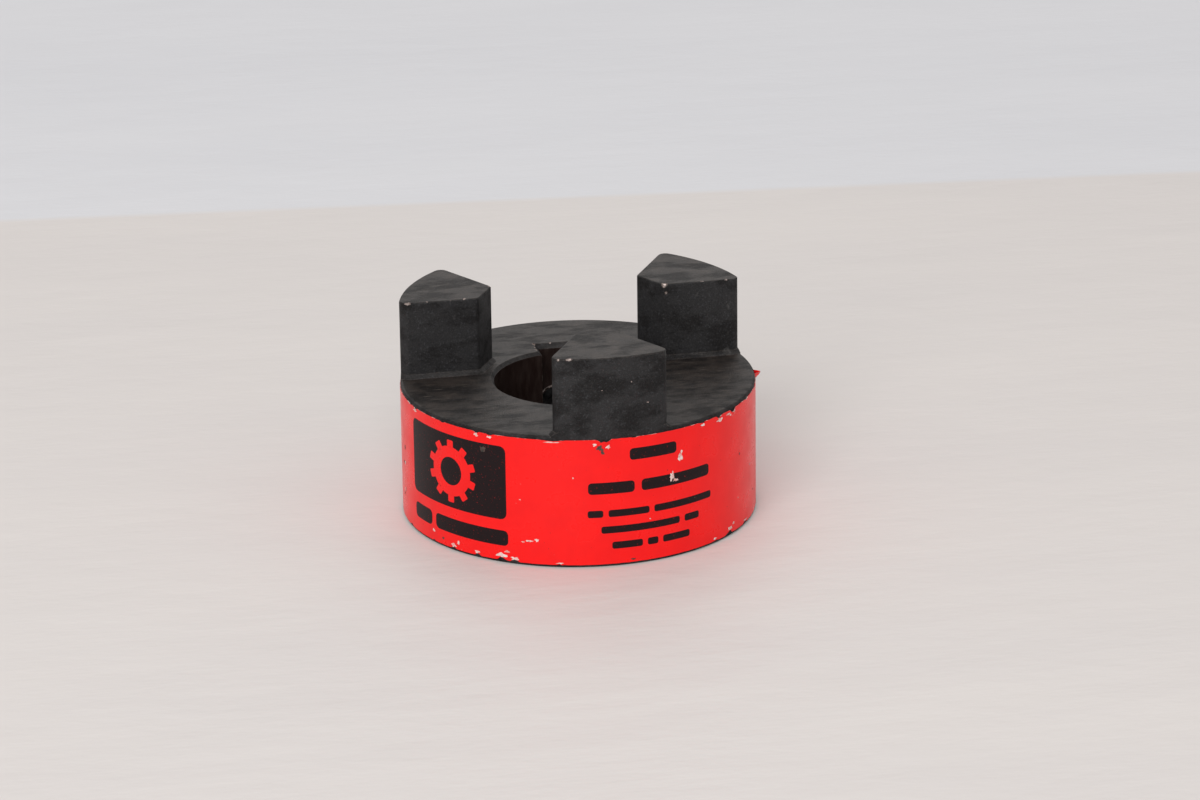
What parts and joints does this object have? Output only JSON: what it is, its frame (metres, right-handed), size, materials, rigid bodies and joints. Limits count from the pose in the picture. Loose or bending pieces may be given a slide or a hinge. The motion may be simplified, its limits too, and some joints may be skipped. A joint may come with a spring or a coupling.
{
  "type": "jaw coupling hub",
  "caption": "Jaw coupling hub: a round black body with a keyed bore, a set screw, upright jaws that drive a flexible spider, and a red wrap label.",
  "frame": {"origin": "on the bore axis at the hub's flat back face, the face away from the jaws", "axes": "+Z along the bore axis towards the jaws; +Y from the bore axis through the middle of the keyway and along the set screw; +X completes the right-handed frame"},
  "size_m": [0.0538, 0.0537, 0.0326],
  "materials": {
    "sintered_iron": "matte, steam-blackened",
    "blackened_steel": "black oxide, slightly oily",
    "printed_label": "glossy printed film"
  },
  "bodies": {
    "hub": {"hub": "sintered_iron", "label": "printed_label"},
    "set_screw": {"set_screw": "blackened_steel"}
  },
  "joints": [
    {"name": "set_screw_travel", "type": "slide", "parent": "hub", "child": "set_screw", "axis": [0, 1, 0], "range_m": [-0.0021, 0.0092]}
  ]
}
